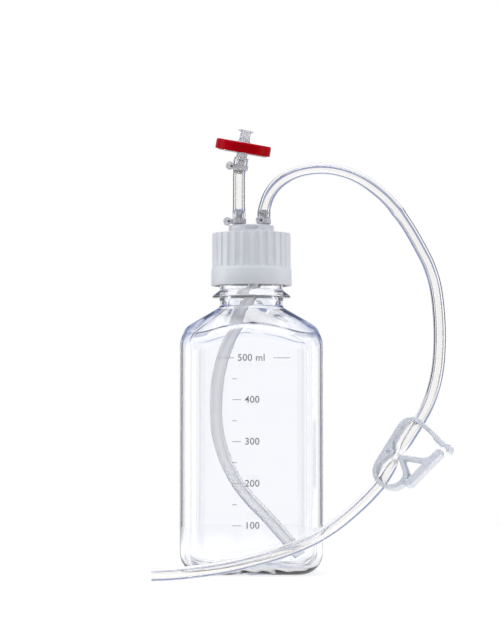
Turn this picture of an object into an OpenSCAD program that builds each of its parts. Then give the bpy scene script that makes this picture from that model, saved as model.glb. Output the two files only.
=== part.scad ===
// Square half-litre bottle with a two-port screw closure, a vent filter on a short
// tube, a curved dip tube, and a long dispensing tube with a pinch clamp.
// Millimetres, +Z up. The origin is the centre of the bottle's base, and -Y is the
// front, where the graduations are.

/* [Bottle] */
// Width of the square body across the flats
bottle_w = 73.5; // [72:0.5:75]
// Plan radius of the four upright corners
corner_r = 15; // [13:0.5:17]
// Radius of the rounded edge round the base
base_edge_r = 11.5; // [9:0.5:12]
// Wall thickness
wall = 1.5; // [1.2:0.1:2]
// Height where the shoulder starts to curve in
shoulder_z = 120.5; // [118:0.5:122]
// Radius of the shoulder's curve
shoulder_r = 10; // [8:0.5:11]
// Height of the dome pushed up into the base
pushup_h = 2.2; // [1.5:0.1:3]

/* [Neck] */
// Outer radius of the neck between its threads
neck_r = 16.65; // [16.5:0.05:16.8]
// Radius of the bore through the neck
neck_bore_r = 14.6; // [14:0.1:15]
// Height of the sealing rim
rim_z = 171.1; // [170.5:0.1:171.1]
// Radius of the support ring under the closure
support_r = 20.5; // [19:0.5:21]
// Rise of the thread in one turn
pitch = 4.233; // [4.2:0.001:4.25]
// Turns of thread
thread_turns = 1.5; // [1:0.25:1.5]

/* [Screw ring] */
// Height of the lower edge of the ring
ring_z = 149.1; // [148.5:0.1:150]
// Height of the top of the ring
ring_top_z = 176.6; // [176.6:0.1:177]
// Outer radius of the fluted grip
ring_r = 20.6; // [20.4:0.1:21]
// Outer radius of the smooth skirt below the flutes
skirt_r = 21.15; // [21:0.05:21.5]
// Inner radius of the ring's wall
ring_bore_r = 18.5; // [18.4:0.1:18.7]
// Number of flutes
flutes = 28; // [20:1:36]

/* [Ports] */
// Distance of each port from the axis
port_x = 6.5; // [6.2:0.1:6.8]
// Height of the top of the insert's boss
boss_z = 180.7; // [180:0.1:181]
// Radius of the insert's boss
boss_r = 12; // [11.5:0.1:12]
// Height of the upper barbs' ends
barb_z = 189; // [187:0.5:191]

/* [Tubing] */
// Outer diameter of all the tubing
tube_d = 6.4; // [6:0.1:6.8]
// Bore of the tubing
tube_bore_d = 3.2; // [3:0.1:3.4]

/* [Vent filter] */
// Radius of the coloured band round the filter
band_r = 14.5; // [13:0.5:15]
// Height of the band
band_h = 5.3; // [5:0.1:6]
// Tilt of the filter to the right
filter_tilt = 10; // [8:1:12]
// Lean of the filter to the front
filter_lean = 6.5; // [4:0.5:8]

/* [Pinch clamp] */
// Depth of the clamp from front to back
clamp_depth = 11; // [10.5:0.5:13]
// Thickness of the clamp's straps
strap_t = 2.2; // [2:0.1:2.4]
// Gap left between the two pinching edges
pinch_gap = 2.9; // [2.8:0.1:3.2]
// Lean of the clamp from upright
clamp_lean = 32; // [30:1:34]
// Turn of the clamp about the tube it pinches
clamp_turn = -17; // [-20:1:-14]

/* [Hidden] */

$fn = 96;
hair = 0.01;               // overlap that makes neighbouring cuts run clean

// Bottle
half_w = bottle_w / 2;
ring_points = 72;          // points in each ring of the body
arc_step = 15;
shoulder_slope = 30;       // slope of the shoulder's straight part
shoulder_top_r = 17.4;     // where the shoulder meets the neck
cavity_top_r = 15;
pushup_r = 20;
pushup_sphere_r = (pushup_r * pushup_r + pushup_h * pushup_h) / (2 * pushup_h);
support_z = 142.8;
support_rim_h = 1;
support_top_z = 146.7;
neck_foot_z = 134;         // inside the shoulder, where the neck's solid starts

// Thread, shared by the neck and the screw ring
thread_z = 161;            // centre of the neck's thread where it starts
thread_h = 1.45;
thread_step = 10;
thread_root_w = 2;
thread_tip_w = 1;
thread_sink = 0.3;         // depth of each ridge inside its wall
thread_fade = 3;           // steps in which each end of a ridge fades out
fade_h = 0.25;

// Screw ring
ring_top_t = 2;
ring_hole_r = boss_r + 0.3;
skirt_h = 9.1;
flute_w = 2.9;
flute_depth = 0.65;

// Insert
flange_r = 16.4;
flange_z = 172.6;
flange_top_z = ring_top_z - ring_top_t - 0.1;
barb_stem_r = 1.8;
barb_ridge_r = 2.25;
barb_ridge_h = 2;
port_bore_r = 1.1;
lower_barb_z = 163.5;
window_w = 7;
window_h = 1.7;
window_depth = 0.8;

// Tubing and ties
tube_r = tube_d / 2;
tube_bore_r = tube_bore_d / 2;
tube_sides = 12;
vent_sides = 32;
tube_gap = 0.1;            // gap between a tube's end and the boss
tie_h = 2.5;
tie_t = 0.55;
tie_grip = 0.05;           // how far a tie's band presses into its tube
tie_head_r = 2.15;
tie_head_d = 3.6;
tie_slot = [1.5, 0.8];
tie_z = boss_z + tie_head_r - tie_h / 2 + 0.1;  // keeps the heads clear of the boss

// Vent filter, in a frame of its own whose origin is the middle of the disc
stem_top_z = 209;          // where the vent tube bends on to the filter's stem
filter_rise = 13;          // from there to the middle of the disc, along its axis
shell_r = 13.3;
stem_r = 2.8;
stem_collar = 6.6;
stem_end = 14;
hub_r = 2.85;
hub_top = 9.2;
lug_w = 7.8;
lug_d = 3.4;
lug_h = 1.1;
luer_r = 2.1;
luer_depth = 6.8;
sleeve_r = 3.75;           // the vent tube stretched over the stem
sleeve_top = 5.4;
sleeve_end = 11.8;
membrane_r = 12.4;
membrane_t = 0.3;
support_t = 0.4;
support_ribs = 6;

// Pinch clamp, in a frame of its own: the origin is the pinch, +Y runs along the
// tube towards the closure, and +X runs towards the finger arm
clamp_pos = [74.5, -30, 61];
back_x = -7.1;
top_bow = [1.15, 13.2];
top_bow_r = 8.25;
low_bow = [2.1, -8.7];
low_bow_r = 9.2;
bow_steps = 16;
latch_pivot = [6.9, 19.25];
latch_slope = -12.5;
jaw_pivot = [10.1, -10.15];
pivot_gap = 0.3;
latch_len = 12.4;
tooth_w = 1.8;
tooth_h = 0.8;
nose_r = 1;
nose = [pinch_gap / 2 + nose_r, 0];
finger_root = [13.2, -9.2];
finger_tip = [18.2, 12.2];
finger_t = 3.2;
strut_knee = [10, -6.2];
strut_end = [14.4, 4.8];
strut_t = 2;
strap_hole_r = 3.6;        // holes in the strap that the tube goes through
strap_hole_u = [17, -20.5];
peg_dimple = [-4, -0.9];
peg_dimple_r = 1.1;
peg_dimple_depth = 1.2;
anvil_u = [-6.2, 4];       // foot of the anvil on the frame's back

// Route of the dispensing tube's centre line, from its port to its free end
dispensing_route = [
    [6.5, 0, 180.8], [6.5, 0, 185], [6.9, 0, 190], [9.6, -0.5, 197.5],
    [15.2, -1.5, 204], [24, -3, 208.5], [35, -4.5, 210.2], [45.5, -6, 209],
    [56, -8.5, 204.9], [66.2, -11, 197.6], [73.8, -13, 189.6], [80.8, -16, 179.3],
    [87.2, -19, 167.5], [91.8, -21, 157.5], [95, -23, 145], [96.4, -25.5, 127],
    [95.8, -27.5, 110], [93.6, -29, 97.5], [90, -29.8, 87], [85.9, -30, 79.2],
    [81.4, -30, 72], [78.2, -30, 66.9], [76, -30, 63.4], [74.5, -30, 61],
    [73, -30, 58.6], [70.8, -30, 55.1], [67.9, -30, 50.4], [64.8, -30.8, 45.9],
    [58.2, -33.2, 38.9], [50.2, -37.4, 31.9], [41.4, -42.6, 25.2],
    [29.9, -49.3, 18.7], [16.4, -56.5, 13.5], [1, -64.3, 9.4], [-14, -70.9, 6.3],
    [-27.5, -75.6, 4.6], [-38.5, -78.3, 3.6], [-49, -79.4, 3.2]];
// Reach of the pinch along the tube, the share of its thickness that it takes, and
// the share that its width gains
pinch_reach = 4.6;
pinch_squeeze = 0.6;
pinch_spread = 0.42;

// Route of the dip tube's centre line, from its port to the bottom of the bottle
dip_route = [
    [6.5, 0, 172.5], [6.5, 0, 166], [5.6, 0, 159.5], [3.2, 0, 152.5],
    [-0.4, 0, 145.5], [-4.6, 0, 137], [-8.9, 0, 127], [-12.8, 0, 117.5],
    [-15.8, 0, 108.5], [-17.7, 0, 98], [-18.4, 0, 87], [-18.1, 0, 77],
    [-16.5, 0, 67.8], [-13.2, 0, 57.8], [-8, 0, 47.5], [-0.8, 0, 38],
    [7.8, 0, 29], [16.2, 0, 19.8], [22, 0, 12.8], [25.4, 0, 8.2]];

// ---- Shapes that are shared ----

// A closed solid through rings of points, each ring counter-clockwise along the way
module skin(rings) {
    count = len(rings[0]);
    last = len(rings) - 1;
    sides = [for (i = [0 : last - 1], j = [0 : count - 1])
        let (next = (j + 1) % count, low = i * count, high = low + count)
        each [[low + j, high + j, high + next], [low + j, high + next, low + next]]];
    low_cap = [for (j = [0 : count - 1]) j];
    high_cap = [for (j = [count - 1 : -1 : 0]) last * count + j];
    polyhedron([for (ring = rings) each ring], concat(sides, [low_cap, high_cap]));
}

function unit(v) = v / norm(v);

function tangent(route, i) =
    unit(route[min(i + 1, len(route) - 1)] - route[max(i - 1, 0)]);

// How far the pinch reaches a point, from 0 to 1
function pinch_at(p) = exp(-pow(norm(p - clamp_pos) / pinch_reach, 2));

// A ring round a tube, thin in the direction in which the clamp pinches it
function tube_ring(p, along, thick, wide, sides) =
    let (across = unit(cross([0, 1, 0], along)), back = cross(along, across),
         side = cos(clamp_turn) * across - sin(clamp_turn) * back,
         deep = cross(along, side))
    [for (k = [0 : sides - 1])
        let (a = 360 * k / sides)
        p + thick * cos(a) * side + wide * sin(a) * deep];

// A tube along a route, flattened where the clamp pinches it
module tube_along(route) {
    skin([for (i = [0 : len(route) - 1])
        let (pinch = pinch_at(route[i]))
        tube_ring(route[i], tangent(route, i), tube_r * (1 - pinch_squeeze * pinch),
                  tube_r * (1 + pinch_spread * pinch), tube_sides)]);
}

// Distance from the axis to the side of a square with round corners, at an angle
function reach(half, r, angle) =
    let (fold = abs((angle + 45) % 90 - 45), c = half - r)
    half * tan(fold) <= c ? half / cos(fold)
        : c * (cos(fold) + sin(fold)) + sqrt(r * r - c * c * (1 - sin(2 * fold)));

// One point of a ring, at a distance from the axis
function ring_point(k, out, z) =
    let (angle = 360 * k / ring_points)
    [out * cos(angle), out * sin(angle), z];

function square_ring(half, r, z) =
    [for (k = [0 : ring_points - 1])
        ring_point(k, reach(half, r, 360 * k / ring_points), z)];

// A ring of the shoulder, at a turn round its curve and then a share of the way up its
// slope. The shoulder is a cone, so its foot is lowest at the corners.
function shoulder_ring(inset, turn, share, top_r) =
    let (w = half_w - inset, bow = shoulder_r - inset, fall = tan(shoulder_slope),
         top_z = shoulder_z + bow * cos(shoulder_slope)
             + fall * (w - bow + bow * sin(shoulder_slope) - top_r))
    [for (k = [0 : ring_points - 1])
        let (wall_out = reach(w, corner_r - inset, 360 * k / ring_points),
             out = wall_out - bow + bow * cos(turn),
             z = shoulder_z - fall * (wall_out - w) + bow * sin(turn))
        ring_point(k, out + (top_r - out) * share, z + (top_z - z) * share)];

// Rings of the bottle's body, set in from its outside by the given depth. The top
// ring is a circle of radius top_r.
function body_rings(inset, top_r) =
    let (edge = base_edge_r - inset, slope_turn = 90 - shoulder_slope)
    concat(
        [for (a = [0 : arc_step : 90])
            let (in = inset + edge * (1 - sin(a)))
            square_ring(half_w - in, corner_r - in, base_edge_r - edge * cos(a))],
        [for (a = [0 : arc_step : slope_turn]) shoulder_ring(inset, a, 0, top_r)],
        [for (s = [0.5, 1]) shoulder_ring(inset, slope_turn, s, top_r)]);

// A helical ridge on a wall of radius root_r, with its tip at tip_r. It starts at
// start_z on the +X side.
module thread_ridge(root_r, tip_r, start_z) {
    steps = thread_turns * 360 / thread_step;
    outward = tip_r > root_r;
    base_r = root_r + (outward ? -thread_sink : thread_sink);
    skin([for (i = [0 : steps])
        let (a = i * thread_step,
             z = start_z + pitch * i * thread_step / 360,
             full = min(1, min(i, steps - i) / thread_fade),
             tip = root_r + (outward ? 1 : -1)
                 * (fade_h + (abs(tip_r - root_r) - fade_h) * full),
             inner = outward ? [base_r, thread_root_w] : [tip, thread_tip_w],
             outer = outward ? [tip, thread_tip_w] : [base_r, thread_root_w])
        [for (c = [[inner[0], z - inner[1] / 2], [inner[0], z + inner[1] / 2],
                   [outer[0], z + outer[1] / 2], [outer[0], z - outer[1] / 2]])
            [c[0] * cos(a), c[0] * sin(a), c[1]]]]);
}

// A cable tie round an upright tube at the origin: a band, and a round head with a
// slot that faces the front. The head stands off the band in the given direction.
module cable_tie(inner_r, head_angle) {
    outer_r = inner_r + tie_t;
    reach = outer_r + tie_head_r + 0.1;
    difference() {
        union() {
            cylinder(r = outer_r, h = tie_h);
            rotate([0, 0, head_angle]) {
                translate([0, -tie_head_d / 2, 0.3])
                    cube([reach, tie_head_d, tie_h - 0.6]);
            }
            translate([reach * cos(head_angle), reach * sin(head_angle), tie_h / 2])
                rotate([90, 0, 0])
                    cylinder(r = tie_head_r, h = tie_head_d, center = true);
        }
        translate([0, 0, -tie_h])
            cylinder(r = inner_r, h = 3 * tie_h);
        translate([reach * cos(head_angle), reach * sin(head_angle), tie_h / 2])
            cube([tie_slot[0], 2 * tie_head_d, tie_slot[1]], center = true);
    }
}

// ---- Bottle ----

module bottle() {
    color([0.85, 0.88, 0.96, 0.4]) {
        difference() {
            union() {
                skin(body_rings(0, shoulder_top_r));
                translate([0, 0, neck_foot_z])
                    cylinder(r = neck_r, h = rim_z - neck_foot_z);
                rotate_extrude()
                    polygon([[neck_bore_r + 1, support_z],
                             [support_r, support_z],
                             [support_r, support_z + support_rim_h],
                             [neck_r, support_top_z],
                             [neck_bore_r + 1, support_top_z]]);
                thread_ridge(neck_r, neck_r + thread_h, thread_z);
            }
            difference() {
                skin(body_rings(wall, cavity_top_r));
                pushup_dome(wall);
            }
            translate([0, 0, neck_foot_z + 2])
                cylinder(r = neck_bore_r, h = rim_z - neck_foot_z);
            pushup_dome(0);
        }
    }
}

// The ball whose cap is the dome in the base, grown by the wall
module pushup_dome(grow) {
    translate([0, 0, pushup_h - pushup_sphere_r])
        sphere(r = pushup_sphere_r + grow);
}

// ---- Screw ring ----

module cap_ring() {
    skirt_z = ring_z + skirt_h;
    color([0.84, 0.86, 0.89]) {
        difference() {
            union() {
                rotate_extrude()
                    polygon([[ring_bore_r, ring_z], [skirt_r, ring_z],
                             [skirt_r - 0.1, skirt_z - 0.5], [ring_r + 0.1, skirt_z],
                             [ring_r, skirt_z], [ring_r - 0.1, ring_top_z - 0.5],
                             [ring_r - 0.6, ring_top_z], [ring_hole_r, ring_top_z],
                             [ring_hole_r, ring_top_z - ring_top_t],
                             [ring_bore_r, ring_top_z - ring_top_t]]);
                thread_ridge(ring_bore_r, ring_bore_r - thread_h, thread_z - pitch / 2);
            }
            for (i = [0 : flutes - 1]) {
                rotate([0, 0, 360 * (i + 0.5) / flutes])
                    translate([ring_r - flute_depth, -flute_w / 2, skirt_z + 0.3])
                        cube([2, flute_w, ring_top_z - skirt_z]);
            }
        }
    }
}

// ---- Two-port insert and gasket ----

// Half outline of a barbed nipple that points up, from the wall it stands on
module barb(length) {
    rotate_extrude()
        polygon([[0, 0], [barb_stem_r, 0], [barb_stem_r, length - barb_ridge_h],
                 [barb_ridge_r, length - barb_ridge_h], [barb_stem_r - 0.3, length],
                 [0, length]]);
}

module port_insert() {
    color([0.9, 0.91, 0.95]) {
        difference() {
            union() {
                translate([0, 0, flange_z])
                    cylinder(r = flange_r, h = flange_top_z - flange_z);
                translate([0, 0, flange_z])
                    cylinder(r1 = boss_r, r2 = boss_r - 0.2, h = boss_z - flange_z);
                for (side = [-1, 1]) {
                    translate([side * port_x, 0, boss_z - hair])
                        barb(barb_z - boss_z);
                    translate([side * port_x, 0, flange_z + hair])
                        mirror([0, 0, 1])
                            barb(flange_z - lower_barb_z);
                }
            }
            for (side = [-1, 1]) {
                translate([side * port_x, 0, lower_barb_z - 1])
                    cylinder(r = port_bore_r, h = barb_z - lower_barb_z + 2);
                translate([0, side * boss_r, boss_z - 0.9 - window_h / 2])
                    cube([window_w, 2 * window_depth, window_h], center = true);
            }
        }
    }
}

module closure_gasket() {
    color([0.82, 0.82, 0.8]) {
        difference() {
            translate([0, 0, rim_z])
                cylinder(r = neck_r - 0.1, h = flange_z - rim_z);
            translate([0, 0, rim_z - 1])
                cylinder(r = neck_bore_r - 1, h = flange_z - rim_z + 2);
        }
    }
}

// ---- Vent tube and ties ----

// Places its children in the filter's frame
module at_filter() {
    translate([-port_x, 0, stem_top_z])
        rotate([filter_lean, filter_tilt, 0])
            translate([0, 0, filter_rise])
                children();
}

// A ring of the vent tube at a distance along it from its bend: below the bend it
// stands upright, and above it follows the filter's stem
function vent_ring(s, r) =
    let (share = s < 0 ? 0 : s > 0 ? 1 : 0.5,
         tilt = share * filter_tilt, lean = share * filter_lean,
         up = [cos(lean) * sin(tilt), -sin(lean), cos(lean) * cos(tilt)])
    tube_ring([-port_x, 0, stem_top_z] + s * up, up, r, r, vent_sides);

module vent_tube() {
    foot = boss_z + tube_gap - stem_top_z;
    sleeve_foot = filter_rise - sleeve_end;
    sleeve_head = filter_rise - sleeve_top;
    color([0.86, 0.87, 0.87, 0.7]) {
        difference() {
            skin([vent_ring(foot, tube_r), vent_ring(0, tube_r),
                  vent_ring(sleeve_foot, sleeve_r), vent_ring(sleeve_head, sleeve_r)]);
            skin([vent_ring(foot - 1, barb_ridge_r),
                  vent_ring(barb_z - stem_top_z, barb_ridge_r),
                  vent_ring(barb_z - stem_top_z + 0.5, tube_bore_r),
                  vent_ring(0, tube_bore_r), vent_ring(sleeve_foot, barb_stem_r),
                  vent_ring(sleeve_head + 1, barb_stem_r)]);
        }
    }
}

module vent_tie_lower() {
    color([0.85, 0.87, 0.9])
        translate([-port_x, 0, tie_z])
            cable_tie(tube_r - tie_grip, 180);
}

module vent_tie_upper() {
    color([0.86, 0.82, 0.83])
        at_filter()
            translate([0, 0, -sleeve_end])
                cable_tie(sleeve_r - tie_grip, 220);
}

module dispensing_tie() {
    color([0.85, 0.87, 0.9])
        translate([port_x, 0, tie_z])
            cable_tie(tube_r - tie_grip, 250);
}

// ---- Vent filter ----

module filter_lower_shell() {
    color([0.9, 0.88, 0.9, 0.7])
        at_filter()
            difference() {
                union() {
                    translate([0, 0, -band_h / 2 - 0.3])
                        cylinder(r = shell_r, h = band_h / 2 - 0.1);
                    rotate_extrude()
                        polygon([[0, -stem_end + 2], [barb_stem_r, -stem_end + 2],
                                 [barb_ridge_r, -stem_end + 4],
                                 [barb_stem_r, -stem_end + 4],
                                 [barb_stem_r, -stem_collar], [stem_r, -stem_collar],
                                 [stem_r, -1], [0, -1]]);
                }
                translate([0, 0, -1.2])
                    cylinder(r = membrane_r, h = 2);
                translate([0, 0, -stem_end])
                    cylinder(r = port_bore_r, h = stem_end);
            }
}

module filter_upper_shell() {
    color([0.93, 0.9, 0.93, 0.7])
        at_filter()
            difference() {
                union() {
                    translate([0, 0, 0.4])
                        cylinder(r = shell_r, h = band_h / 2 - 0.5);
                    cylinder(r = hub_r, h = hub_top);
                    translate([-lug_w / 2, -lug_d / 2, hub_top - lug_h])
                        cube([lug_w, lug_d, lug_h]);
                }
                translate([0, 0, -1])
                    cylinder(r = membrane_r, h = 2);
                cylinder(r = port_bore_r, h = hub_top);
                translate([0, 0, hub_top - luer_depth])
                    cylinder(r = luer_r, h = luer_depth + 1);
            }
}

module filter_band() {
    color([0.72, 0.02, 0.08])
        at_filter()
            difference() {
                cylinder(r = band_r, h = band_h, center = true);
                cylinder(r = shell_r, h = band_h + 1, center = true);
            }
}

module filter_membrane() {
    color("white")
        at_filter()
            translate([0, 0, 0.1])
                cylinder(r = membrane_r - 0.1, h = membrane_t);
}

// Spoked disc that carries the membrane
module membrane_support() {
    rim_w = 1;
    color([0.9, 0.9, 0.88])
        at_filter()
            translate([0, 0, -support_t]) {
                difference() {
                    cylinder(r = membrane_r - 0.1, h = support_t);
                    translate([0, 0, -1])
                        cylinder(r = membrane_r - rim_w, h = support_t + 2);
                }
                for (i = [0 : support_ribs / 2 - 1]) {
                    rotate([0, 0, 360 * i / support_ribs])
                        translate([-membrane_r + rim_w / 2, -0.5, 0])
                            cube([2 * membrane_r - rim_w, 1, support_t]);
                }
                cylinder(r = 2, h = support_t);
            }
}

// ---- Free tubes ----

module dispensing_tube() {
    color([0.88, 0.89, 0.9, 0.7])
        tube_along(dispensing_route);
}

module dip_tube() {
    color([0.88, 0.88, 0.9, 0.7])
        tube_along(dip_route);
}

// ---- Pinch clamp ----

// Stands a flat outline up in the clamp's frame, with the given depth
module at_clamp(depth, lift = 0) {
    translate(clamp_pos)
        rotate([0, clamp_lean, 0])
            rotate([90, 0, clamp_turn])
                translate([0, 0, lift])
                    linear_extrude(height = depth, center = true)
                        children();
}

// A straight bar with round ends between two points
module bar(from, to, t) {
    way = to - from;
    translate(from) {
        circle(d = t);
        rotate(atan2(way[1], way[0]))
            translate([0, -t / 2])
                square([norm(way), t]);
    }
    translate(to)
        circle(d = t);
}

function arc(centre, r, from, to) =
    [for (k = [0 : bow_steps])
        let (a = from + (to - from) * k / bow_steps)
        centre + r * [cos(a), sin(a)]];

// One edge of a strap: its centre line moved sideways
function strap_edge(path, side) =
    [for (i = [0 : len(path) - 1])
        let (way = tangent(path, i))
        path[i] + side * [-way[1], way[0]]];

function reversed(list) = [for (i = [len(list) - 1 : -1 : 0]) list[i]];

module frame_outline() {
    knuckle_r = strap_t / 2 + pivot_gap;
    path = concat(arc(low_bow, low_bow_r - strap_t / 2, 349, 180),
                  arc(top_bow, top_bow_r - strap_t / 2, 180, 90 + latch_slope),
                  [latch_pivot]);
    difference() {
        union() {
            polygon(concat(strap_edge(path, -strap_t / 2),
                           reversed(strap_edge(path, strap_t / 2))));
            polygon(concat([[back_x + 1, anvil_u[0]]],
                           arc([-pinch_gap / 2 - nose_r, 0], nose_r, -75, 75),
                           [[back_x + 1, anvil_u[1]]]));
        }
        translate(latch_pivot)
            circle(r = knuckle_r);
        translate(jaw_pivot)
            circle(r = knuckle_r);
    }
}

module clamp_frame() {
    color([0.88, 0.9, 0.95])
        difference() {
            at_clamp(clamp_depth)
                frame_outline();
            at_clamp(2 * peg_dimple_depth, clamp_depth / 2)
                translate(peg_dimple)
                    circle(r = peg_dimple_r);
            for (u = strap_hole_u) {
                translate(clamp_pos)
                    rotate([0, clamp_lean, 0])
                        translate([0, 0, u])
                            cylinder(r = strap_hole_r, h = 8);
            }
        }
}

module clamp_jaw_arm() {
    color([0.88, 0.9, 0.95])
        at_clamp(clamp_depth - 1) {
            bar(jaw_pivot, strut_knee, strap_t);
            bar(strut_knee, nose + [0.4, -0.4], strap_t);
            translate(nose)
                circle(r = nose_r);
            bar(nose + [0.4, 0], strut_end, strut_t);
            bar(jaw_pivot, finger_root, strap_t);
            bar(finger_root, finger_tip, finger_t);
        }
}

// Half a strap thick on each side of the X axis, with ratchet teeth below and a
// thumb hook at the end
module latch_outline() {
    half = strap_t / 2;
    first_tooth = latch_len - 7.6;
    polygon(concat(
        [[0, -half]],
        [for (i = [0 : 2])
            let (x = first_tooth + i * tooth_w)
            each [[x, -half], [x + tooth_w - 0.2, -half - tooth_h],
                  [x + tooth_w - 0.2, -half]]],
        [[latch_len - 0.4, -half], [latch_len + 1.4, -0.8], [latch_len + 3.1, -1.7],
         [latch_len + 4.1, -0.7], [latch_len + 3.4, 1.4], [latch_len + 1.6, 2.2],
         [latch_len - 0.6, half], [0, half]]));
    circle(r = half);
}

module clamp_latch_arm() {
    color([0.88, 0.9, 0.95])
        at_clamp(clamp_depth - 1)
            translate(latch_pivot)
                rotate(latch_slope)
                    latch_outline();
}

bottle();
cap_ring();
port_insert();
closure_gasket();
vent_tube();
vent_tie_lower();
vent_tie_upper();
dispensing_tie();
filter_lower_shell();
filter_upper_shell();
filter_band();
filter_membrane();
membrane_support();
dispensing_tube();
dip_tube();
clamp_frame();
clamp_jaw_arm();
clamp_latch_arm();
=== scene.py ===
"""A clear half-litre square bottle with a two-port screw closure, a vent filter, a dip
tube, and a long dispensing tube with a pinch clamp.

Shapes are worked out in millimetres in the frame of the CAD model and scaled to metres
when a mesh is made. +Z is up, and -Y is the front.
"""

import math

import bmesh
import bpy
from mathutils import Matrix, Vector


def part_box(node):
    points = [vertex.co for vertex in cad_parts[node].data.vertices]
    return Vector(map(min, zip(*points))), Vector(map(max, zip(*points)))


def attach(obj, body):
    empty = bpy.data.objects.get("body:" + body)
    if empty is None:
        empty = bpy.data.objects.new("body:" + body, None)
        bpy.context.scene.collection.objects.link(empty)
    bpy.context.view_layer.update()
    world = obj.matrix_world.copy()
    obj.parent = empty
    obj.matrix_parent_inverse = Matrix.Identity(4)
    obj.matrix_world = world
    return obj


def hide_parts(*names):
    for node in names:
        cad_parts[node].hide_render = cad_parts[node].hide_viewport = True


MM = 0.001

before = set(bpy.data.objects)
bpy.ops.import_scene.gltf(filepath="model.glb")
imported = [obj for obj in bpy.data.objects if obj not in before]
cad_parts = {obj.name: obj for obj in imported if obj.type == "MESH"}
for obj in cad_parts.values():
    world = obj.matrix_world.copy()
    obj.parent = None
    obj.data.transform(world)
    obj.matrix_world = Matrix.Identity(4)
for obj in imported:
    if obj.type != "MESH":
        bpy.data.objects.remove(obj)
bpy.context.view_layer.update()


def extent(node):
    """Lowest and highest corner of a CAD node, in millimetres."""
    low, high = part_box(node)
    return low / MM, high / MM


# ---- Sizes, in millimetres -------------------------------------------------------

bottle_high = extent("bottle")[1]
HALF_W = bottle_high.x
RIM_Z = bottle_high.z
CORNER_R = 15
BASE_EDGE_R = 11.5
WALL = 1.5
SHOULDER_Z = 120.5
SHOULDER_R = 10
SHOULDER_SLOPE = math.radians(30)
SHOULDER_TOP_R = 17.4
CAVITY_TOP_R = 15
PUSHUP_H = 2.2
PUSHUP_R = 20
NECK_R = 16.65
NECK_BORE_R = 14.6
SUPPORT_R = 20.5
SUPPORT_Z = 142.8
SUPPORT_TOP_Z = 146.7
PITCH = 4.233
THREAD_TURNS = 1.5
THREAD_Z = 161
THREAD_H = 1.45

ring_low, ring_high = extent("cap_ring")
RING_Z = ring_low.z
RING_TOP_Z = ring_high.z
SKIRT_R = ring_high.x
SKIRT_TOP_Z = RING_Z + 9.1
RING_R = 20.6
RING_BORE_R = 18.5
RING_TOP_T = 2
FLUTES = 28
FLUTE_DEPTH = 0.65

insert_low, insert_high = extent("port_insert")
PORT_X = 6.5
BOSS_R = 12
BOSS_Z = 180.7
BARB_Z = insert_high.z
LOWER_BARB_Z = insert_low.z
FLANGE_R = 16.4
FLANGE_Z = 172.6
FLANGE_TOP_Z = 174.5

TUBE_R = 3.2
BORE_R = 1.6
STEM_TOP_Z = 209
FILTER_TILT = math.radians(10)
FILTER_LEAN = math.radians(6.5)
FILTER_RISE = 13
BAND_R = 14.5
BAND_H = 5.3
SHELL_R = 13.3

CLAMP_POS = Vector((74.5, -30, 61))
CLAMP_LEAN = math.radians(32)
CLAMP_TURN = math.radians(-17)
CLAMP_DEPTH = 11
ARM_DEPTH = 10
STRAP_T = 2.2
PINCH_GAP = 2.9
PINCH_REACH = 4.6
PINCH_SQUEEZE = 0.6
PINCH_SPREAD = 0.42

# Route of the dispensing tube's centre line, from its port to its free end
DISPENSING_ROUTE = [
    (6.5, 0, 180.8), (6.5, 0, 185), (6.9, 0, 190), (9.6, -0.5, 197.5),
    (15.2, -1.5, 204), (24, -3, 208.5), (35, -4.5, 210.2), (45.5, -6, 209),
    (56, -8.5, 204.9), (66.2, -11, 197.6), (73.8, -13, 189.6), (80.8, -16, 179.3),
    (87.2, -19, 167.5), (91.8, -21, 157.5), (95, -23, 145), (96.4, -25.5, 127),
    (95.8, -27.5, 110), (93.6, -29, 97.5), (90, -29.8, 87), (85.9, -30, 79.2),
    (81.4, -30, 72), (78.2, -30, 66.9), (76, -30, 63.4), (74.5, -30, 61),
    (73, -30, 58.6), (70.8, -30, 55.1), (67.9, -30, 50.4), (64.8, -30.8, 45.9),
    (58.2, -33.2, 38.9), (50.2, -37.4, 31.9), (41.4, -42.6, 25.2),
    (29.9, -49.3, 18.7), (16.4, -56.5, 13.5), (1, -64.3, 9.4),
    (-14, -70.9, 6.3), (-27.5, -75.6, 4.6), (-38.5, -78.3, 3.6), (-49, -79.4, 3.2)]

# Route of the dip tube's centre line, from its port to the bottom of the bottle
DIP_ROUTE = [
    (6.5, 0, 172.5), (6.5, 0, 166), (5.6, 0, 159.5), (3.2, 0, 152.5),
    (-0.4, 0, 145.5), (-4.6, 0, 137), (-8.9, 0, 127), (-12.8, 0, 117.5),
    (-15.8, 0, 108.5), (-17.7, 0, 98), (-18.4, 0, 87), (-18.1, 0, 77),
    (-16.5, 0, 67.8), (-13.2, 0, 57.8), (-8, 0, 47.5), (-0.8, 0, 38),
    (7.8, 0, 29), (16.2, 0, 19.8), (22, 0, 12.8), (25.4, 0, 8.2)]

# ---- Camera ----------------------------------------------------------------------

# Where the eye stands, its lens and its sensor, in millimetres
EYE = Vector((-0.73, -1300, 73.9))
EYE_TILT = math.radians(2.7017123)
LENS = 143.424
SENSOR = 36


def new_object(name, data):
    """A new object in the scene."""
    obj = bpy.data.objects.new(name, data)
    bpy.context.scene.collection.objects.link(obj)
    return obj


def make_camera():
    data = bpy.data.cameras.new("camera")
    data.sensor_width = SENSOR
    data.lens = LENS
    camera = new_object("camera", data)
    camera.location = EYE * MM
    camera.rotation_euler = (math.pi / 2 + EYE_TILT, 0, 0)
    bpy.context.scene.camera = camera


make_camera()

# ---- Mesh tools ------------------------------------------------------------------

SHARP = 38
EASED_ABOVE = math.radians(35)


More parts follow.
